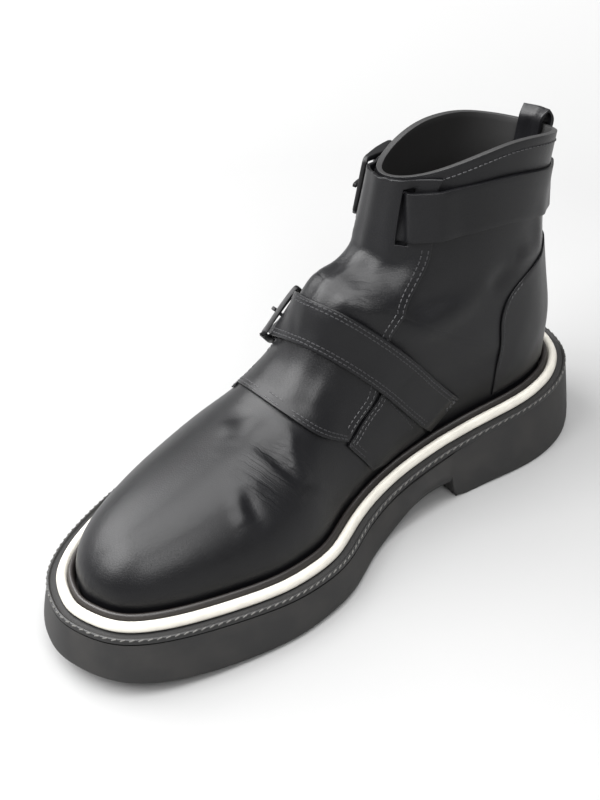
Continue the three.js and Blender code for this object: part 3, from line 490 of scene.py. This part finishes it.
def looksOut(center, normal):
    return normal.dot(center - nearestOnAxis(center)) > 0


# inside of the upper: lining; top of the collar: cut edge
collarRim = {"above": 0.11, "flatness": 0.75}
upperSlots = {"leather": 0, "lining": 1, "edge": 2}


def onRim(center, normal):
    return center.z > collarRim["above"] and normal.z > collarRim["flatness"]


upper.data.materials.append(liningLeather)
upper.data.materials.append(cutEdge)
for face in upper.data.polygons:
    if onRim(face.center, face.normal):
        face.material_index = upperSlots["edge"]
    elif not looksOut(face.center, face.normal):
        face.material_index = upperSlots["lining"]


def outerSkin():
    grid = bmesh.new()
    grid.from_mesh(upper.data)
    inside = [face for face in grid.faces if face.material_index == upperSlots["lining"]]
    bmesh.ops.delete(grid, geom=inside, context="FACES")
    tree = BVHTree.FromBMesh(grid)
    grid.free()
    return tree


skin = outerSkin()

# folds worn into the leather: line in mm, height, width
foldPlan = [
    ([(16, -45, 66), (24, -43, 62), (30, -40, 57), (33, -37, 52), (34, -32, 48)], -1.1, 2.4),
    ([(17, -49, 65), (25, -47, 61), (31, -44, 56), (35, -40, 50)], 0.7, 2.6),
    ([(11, -31, 71), (20, -32, 66), (24, -36, 62), (28, -36, 59), (31, -35, 54)], 1.3, 3.6),
    ([(13, -43, 67), (22, -40, 64), (28, -39, 59)], -1.1, 4.5),
    ([(24, -65, 59), (29, -67, 56), (33, -68, 52), (35, -68, 50)], 1.1, 3.2),
    ([(22, -62, 61), (27, -58, 59), (31, -57, 56)], 0.7, 4.0),
    ([(27, -62, 58), (32, -63, 54), (36, -62, 49)], -1.1, 2.8),
    ([(-4, -34, 70), (-3, -41, 68), (6, -51, 66)], -0.9, 5.0),
    ([(-5, -43, 67), (2, -50, 66)], 0.6, 4.0),
    ([(6, 8, 113), (13, 10, 110), (18, 18, 107), (22, 24, 104)], 1.7, 6.5),
    ([(-9, 17, 113), (7, 18, 116), (15, 31, 118)], -1.3, 7.0),
    ([(24, 24, 93), (28, 37, 93), (30, 51, 95), (32, 64, 98)], 2.0, 7.5),
    ([(25, 30, 101), (27, 44, 103), (30, 55, 106)], -1.1, 8.0),
    ([(30, 104, 104), (33, 91, 107), (33, 84, 108)], 1.2, 4.5),
    ([(33, 69, 99), (33, 75, 102), (33, 84, 106)], -1.2, 5.5),
    ([(29, 102, 122), (30, 104, 105)], 1.0, 4.5),
    ([(14, -7, 82), (15, -14, 75), (17, -17, 71)], 0.9, 5.0),
    ([(-18, 2, 103), (-9, 10, 113), (-2, 13, 116)], 2.6, 9.0),
]
foldLines = [([Vector(p) * mm for p in line], high * mm, wide * mm) for line, high, wide in foldPlan]
foldShape = {"reach": 0.06, "spread": 3, "endShare": 0.35, "least": 0.00002}


def lineGap(point, line):
    best, share = 1.0, 0.5
    for k, (a, b) in enumerate(zip(line, line[1:])):
        t = max(0.0, min(1.0, (point - a).dot(b - a) / (b - a).length_squared))
        gap = (a.lerp(b, t) - point).length
        if gap < best:
            best, share = gap, (k + t) / (len(line) - 1)
    return best, share


def foldHeight(spot):
    total = 0.0
    for line, high, wide in foldLines:
        if (spot - line[len(line) // 2]).length > foldShape["reach"]:
            continue
        gap, share = lineGap(spot, line)
        if gap < wide * foldShape["spread"]:
            taper = foldShape["endShare"] + (1 - foldShape["endShare"]) * math.sin(math.pi * share)
            total += high * taper * math.exp(-(gap / wide) ** 2)
    return total


def folded(point):
    spot, normal, _, _ = skin.find_nearest(point)
    high = foldHeight(spot)
    if abs(high) < foldShape["least"]:
        return point
    return point + normal * high


# finer faces where the vamp and the quarter crease: lowest and highest corner in mm
wornAreas = [((-22, -78, 40), (200, -22, 200)), ((15, 18, 84), (200, 112, 126))]


def isWorn(center):
    return any(all(low[k] < center[k] < high[k] for k in range(3)) for low, high in wornAreas)


editMesh(upper, "FACE")
grid = bmesh.from_edit_mesh(upper.data)
for face in grid.faces:
    worn = isWorn(face.calc_center_median() / mm)
    face.select = worn and face.material_index == upperSlots["leather"]
bmesh.update_edit_mesh(upper.data)
bpy.ops.mesh.subdivide(number_cuts=1, smoothness=0)
leaveEdit()

# how far each overlay settles in mm, and over which height above the skin
settlePlan = {"heel_counter": 1.0, "wing_medial": 0.9, "wing_lateral": 0.9, "upper": 0, "pull_loop": 0}
settleRise = {"usual": 0.75, "from": 0.25, "over": 1.1}


# Thin overlays lie closer to the skin than the frame's clearances
def settled(point, depth):
    spot, normal, _, _ = skin.find_nearest(point)
    high = (point - spot).dot(normal) / mm
    share = max(0.0, min(1.0, (high - settleRise["from"]) / settleRise["over"]))
    return point - normal * depth * mm * share * share * (3 - 2 * share)


for node, piece in covers.items():
    for vertex in piece.data.vertices:
        depth = settlePlan.get(node, settleRise["usual"])
        vertex.co = folded(settled(vertex.co, depth) if depth else vertex.co)
    piece.data.update()
surfaces = {node: surfaceOf(piece) for node, piece in covers.items()}
print("folds pressed in,", len(upper.data.polygons), "faces on the upper")

# holes punched in the strap ends, at the outer layer only
punchBit = {"sides": 20, "radius": 0.95 * mm, "depth": 3.2 * mm}
punchPlan = {
    "collar_strap": [(-28.5, 91, 129.8), (-28.5, 84, 131.4), (-14, 36.5, 137.3)],
    "instep_strap": [(-32.5, 21.7, 64.8), (-33.6, 26.1, 59.6), (-25.7, -3.5, 95), (-24.5, -8, 100.3)],
}
for node, spots in punchPlan.items():
    bits = []
    for spot in spots:
        place, normal, _, _ = surfaces[node].find_nearest(Vector(spot) * mm)
        clearSelection()
        turn = normal.to_track_quat("Z", "Y").to_euler()
        bpy.ops.mesh.primitive_cylinder_add(vertices=punchBit["sides"], radius=punchBit["radius"],
                                            depth=punchBit["depth"], location=place, rotation=turn)
        bits.append(bpy.context.active_object)
    clearSelection()
    for bit in bits:
        bit.select_set(True)
    bpy.context.view_layer.objects.active = bits[0]
    bpy.ops.object.join()
    punch = bpy.context.active_object
    cut = covers[node].modifiers.new("holes", "BOOLEAN")
    cut.operation = "DIFFERENCE"
    cut.solver = "EXACT"
    cut.object = punch
    applyModifiers(covers[node])
    bpy.data.objects.remove(punch)
    makeActive(covers[node])
    bpy.ops.object.shade_smooth_by_angle(angle=smoothAngle)
    surfaces[node] = surfaceOf(covers[node])
print("strap holes punched")

# buckles and prongs: name and edge rounding in mm
metalPlan = {
    "collar_buckle": ("collarBuckle", 0.75),
    "collar_prong": ("collarProng", 0.4),
    "instep_buckle": ("instepBuckle", 0.75),
    "instep_prong": ("instepProng", 0.4),
}
for node, (name, edge) in metalPlan.items():
    piece = smoothCopy(node, name, edge, 1, 35, 3)
    placePiece(piece, blackLacquer, (node,))
print("buckles ready")

# sole, welt and beads: name, slot, finish and edge rounding in mm
solePlan = {
    "outsole": ("outsoleRubber", "sole_rubber", soleRubber, 0.6),
    "welt": ("weltStrip", "sole_rubber", weltRubber, 0.15),
    "piping": ("pipingBead", "piping", ivoryPiping, 0),
    "rand": ("randBead", "rand", randLeather, 0),
    "insole": ("insoleBoard", "lining", liningLeather, 0.4),
}
for node, (name, slotName, finish, edge) in solePlan.items():
    piece = smoothCopy(node, name, edge, 2, 35)
    for vertex in piece.data.vertices:
        vertex.co.z = max(vertex.co.z, 0.0)
    placePiece(piece, finish, (node,))
    surfaces[node] = surfaceOf(piece)
print("sole ready")

# stitches: one is modelled, and its copies are laid along the seams
stitchPlan = {"length": 1.8, "thick": 0.6, "pitch": 2.4, "sink": 0.05, "reach": 3, "wobble": 0.04}
weltSeam = {"length": 2.3, "thick": 0.7, "pitch": 3.6, "slant": 0.35, "inset": 1.4}
collarSeam = {"below": 4.2, "sink": -0.16}
backSeam = {"x": 4.5, "y": 130, "top": 154, "bottom": 40, "step": 6}


def modelStitch(length, thick):
    bpy.ops.mesh.primitive_cylinder_add(vertices=6, radius=thick / 2 * mm, depth=length * mm,
                                        rotation=(0, math.pi / 2, 0))
    piece = bpy.context.active_object
    bpy.ops.object.transform_apply(location=False, rotation=True, scale=True)
    editMesh(piece)
    bpy.ops.mesh.edges_select_sharp(sharpness=math.radians(80))
    bpy.ops.mesh.bevel(offset=thick * 0.38 * mm, segments=2, affect="EDGES")
    leaveEdit()
    shape = piece.data.copy()
    bpy.data.objects.remove(piece)
    return shape


thread = modelStitch(stitchPlan["length"], stitchPlan["thick"])
weltThread = modelStitch(weltSeam["length"], weltSeam["thick"])


def layStitches(name, lines, surface, shape=thread, finish=darkThread, pitch=stitchPlan["pitch"],
                slant=0.0, sink=stitchPlan["sink"]):
    grid = bmesh.new()
    count = 0
    for line in lines:
        for place, along in evenPoints(line, pitch * mm):
            spot, normal, _, gap = surface.find_nearest(place)
            if gap > stitchPlan["reach"] * mm:
                continue
            side = normal.cross(along).normalized()
            along = side.cross(normal).normalized()
            turn = Matrix((along, side, normal)).transposed()
            wobble = random.uniform(-stitchPlan["wobble"], stitchPlan["wobble"])
            turn = turn @ Matrix.Rotation(slant + wobble, 3, "Z")
            first = len(grid.verts)
            grid.from_mesh(shape)
            grid.verts.ensure_lookup_table()
            lift = spot - normal * sink * mm
            for vertex in grid.verts[first:]:
                vertex.co = turn @ vertex.co + lift
            count += 1
    mesh = bpy.data.meshes.new(name)
    grid.to_mesh(mesh)
    grid.free()
    piece = bpy.data.objects.new(name, mesh)
    bpy.context.scene.collection.objects.link(piece)
    placePiece(piece, finish)
    print(name, count, "stitches")


def onTop(center, normal):
    way = skin.find_nearest(center)[1]
    return normal.dot(way) > 0.6


loops = {node: rimLoops(raw[node], onTop) for node in raw if node not in solePlan and node != "upper"}
loops["welt"] = rimLoops(raw["welt"], lambda center, normal: normal.z > 0.8)
print("seams found on", len(loops), "pieces")


# Rows of stitches at insets in mm from a piece's border, where a test on its points keeps them
def seam(name, node, keep, insets):
    lines = []
    for run in runsOf(loops[node][0], keep):
        lines += [insetLine(run, inset * mm) for inset in insets]
    layStitches(name, lines, surfaces[node])


def inPanelFoot(p):
    return p.z < 74 and p.y < -5


seam("vampStitches", "front_panel", inPanelFoot, (1.3, 2.9))
seam("panelStitches", "front_panel", lambda p: p.z < 128 and not inPanelFoot(p), (1.3, 4.0))
seam("strapStitches", "instep_strap", lambda p: p.z > 40, (1.4, 3.0))
seam("chapeStitches", "instep_chape", lambda p: p.z > 40, (1.5,))
seam("counterStitches", "heel_counter", lambda p: 46 < p.z < 98 and p.y < 112, (1.6,))
seam("wingStitches", "wing_medial", lambda p: p.z > 40, (1.4, 3.4))
seam("wingOuterStitches", "wing_lateral", lambda p: p.z > 42, (1.4, 3.4))


def widthOf(loop):
    return max(point.x for point, _ in loop) - min(point.x for point, _ in loop)


# stitches below the collar's rim, down the back and round the welt
rim = max(rimLoops(raw["upper"], onRim), key=widthOf)
drop = Vector((0, 0, collarSeam["below"] * mm))
below = [skin.find_nearest(point - drop)[0] for point, _ in rim + rim[:1]]
layStitches("collarStitches", [smoothLine(below)], surfaces["upper"], sink=collarSeam["sink"])

heights = range(backSeam["top"], backSeam["bottom"], -backSeam["step"])
behind = [Vector((backSeam["x"], backSeam["y"], high)) * mm for high in heights]
onBack = [skin.find_nearest(point)[0] for point in behind]
layStitches("backSeamStitches", [smoothLine(onBack)], surfaces["upper"])

weltRim = loops["welt"][0]
weltLine = insetLine(weltRim + weltRim[:1], weltSeam["inset"] * mm)
layStitches("weltStitches", [weltLine], surfaces["welt"], shape=weltThread, finish=greyThread,
            pitch=weltSeam["pitch"], slant=weltSeam["slant"])

# floor, light and camera
studio = {
    "camera": (0.3718, -0.3218, 0.4404),
    "right": (0.6553, 0.7551, -0.0211),
    "up": (-0.4533, 0.4154, 0.7887),
    "back": (0.6043, -0.5072, 0.6145),
    "lens": 64.8,
    "sensor": 36,
    "farthest": 30,
    "floor": 6,
    "roomLight": 0.22,
    "roomSeen": 0.9,
    "lamps": [
        ("leftSoft", (-0.98, -0.3, 0.95), (0, 0, 0.05), 0.95, 28),
        ("frontSoft", (-0.25, -0.85, 1.1), (0, 0, 0.05), 0.85, 30),
        ("rightSoft", (0.95, -0.35, 1.05), (0, 0, 0.05), 0.7, 14),
        ("topSoft", (0.0, 0.1, 1.45), (0, 0, 0), 1.2, 34),
    ],
}


def setStudio():
    bpy.ops.mesh.primitive_plane_add(size=studio["floor"], location=(0, 0, 0))
    floor = bpy.context.active_object
    floor.name = "paleFloor"
    floor.data.materials.append(floorFinish)
    clearSelection()
    bpy.ops.object.camera_add(location=studio["camera"])
    camera = bpy.context.active_object
    camera.name = "studioCamera"
    turn = Matrix((studio["right"], studio["up"], studio["back"])).transposed()
    camera.matrix_world = Matrix.Translation(studio["camera"]) @ turn.to_4x4()
    camera.data.lens = studio["lens"]
    camera.data.sensor_width = studio["sensor"]
    camera.data.clip_end = studio["farthest"]
    bpy.context.scene.camera = camera
    clearSelection()
    for name, place, target, size, power in studio["lamps"]:
        bpy.ops.object.light_add(type="AREA", location=place)
        lamp = bpy.context.active_object
        lamp.name = name
        lamp.rotation_euler = (Vector(target) - Vector(place)).to_track_quat("-Z", "Y").to_euler()
        lamp.data.size = size
        lamp.data.energy = power
        clearSelection()
    world = bpy.data.worlds.new("paleRoom")
    bpy.context.scene.world = world
    world.use_nodes = True
    sky = world.node_tree.nodes["Background"]
    sky.inputs[0].default_value = (1, 1, 1, 1)
    rays = world.node_tree.nodes.new("ShaderNodeLightPath")
    level = world.node_tree.nodes.new("ShaderNodeMapRange")
    world.node_tree.links.new(rays.outputs["Is Camera Ray"], level.inputs["Value"])
    level.inputs["To Min"].default_value = studio["roomLight"]
    level.inputs["To Max"].default_value = studio["roomSeen"]
    world.node_tree.links.new(level.outputs[0], sky.inputs[1])
    bpy.context.scene.view_settings.view_transform = "Standard"


setStudio()
print("studio ready")
